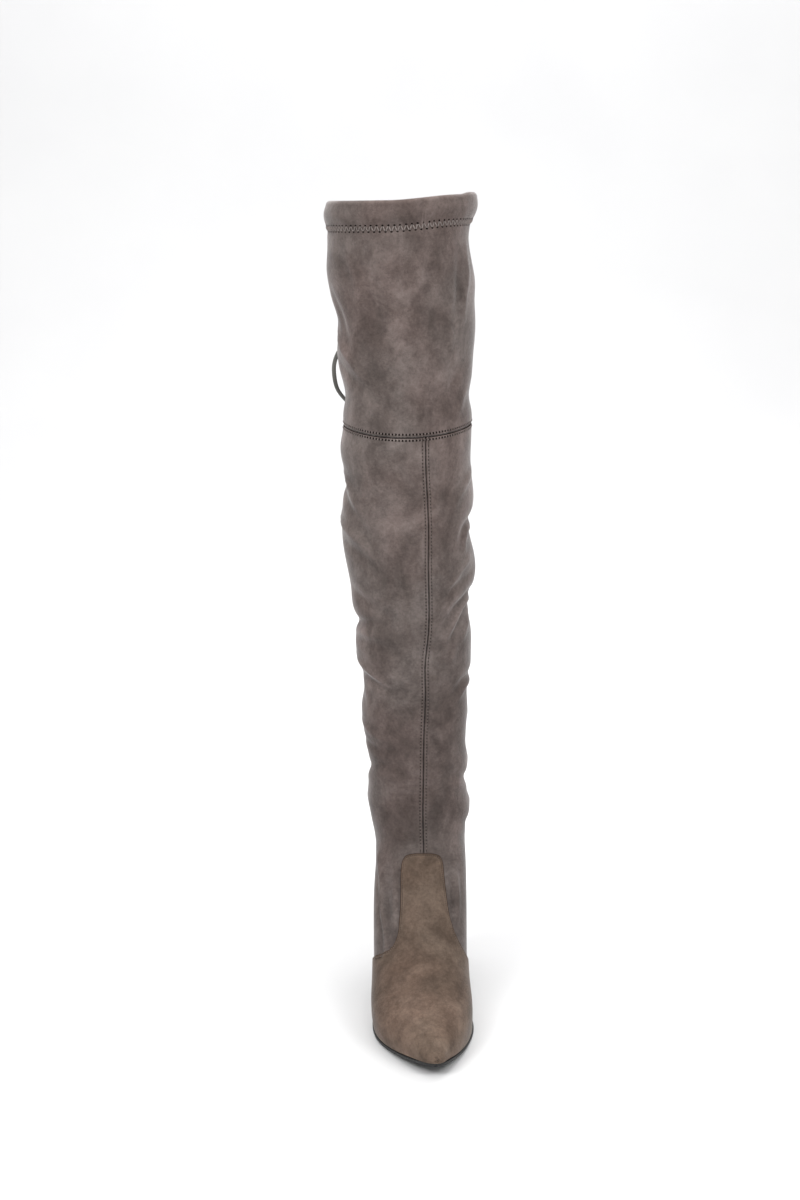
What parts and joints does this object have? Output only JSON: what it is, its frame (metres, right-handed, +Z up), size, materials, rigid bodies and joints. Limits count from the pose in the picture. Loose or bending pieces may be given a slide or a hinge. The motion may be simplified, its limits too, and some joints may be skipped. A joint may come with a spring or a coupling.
{
  "type": "thigh-high boot",
  "caption": "Thigh-high suede boot on a covered block heel, with a pointed toe, a nubuck vamp and a drawstring hem.",
  "frame": {"origin": "centre of the heel tip's floor face", "axes": "+Z up along the leg, toe towards -Y, medial side of this right boot towards +X"},
  "size_m": [0.1157, 0.2736, 0.6446],
  "materials": {
    "suede": "grey-brown suede nap",
    "nubuck": "brown nubuck",
    "rubber": "matt black",
    "lining": "smooth lining",
    "lace": "flat woven lace"
  },
  "bodies": {
    "root": {"outsole": "rubber", "heel_top_piece": "rubber", "heel_block": "suede", "insole": "lining", "upper": "suede", "vamp": "nubuck", "thigh_panel": "suede", "drawstring_run_lateral": "lace", "drawstring_run_medial": "lace", "drawstring_knot": "lace", "drawstring_tail_lateral": "lace", "drawstring_tail_medial": "lace"}
  },
  "joints": []
}
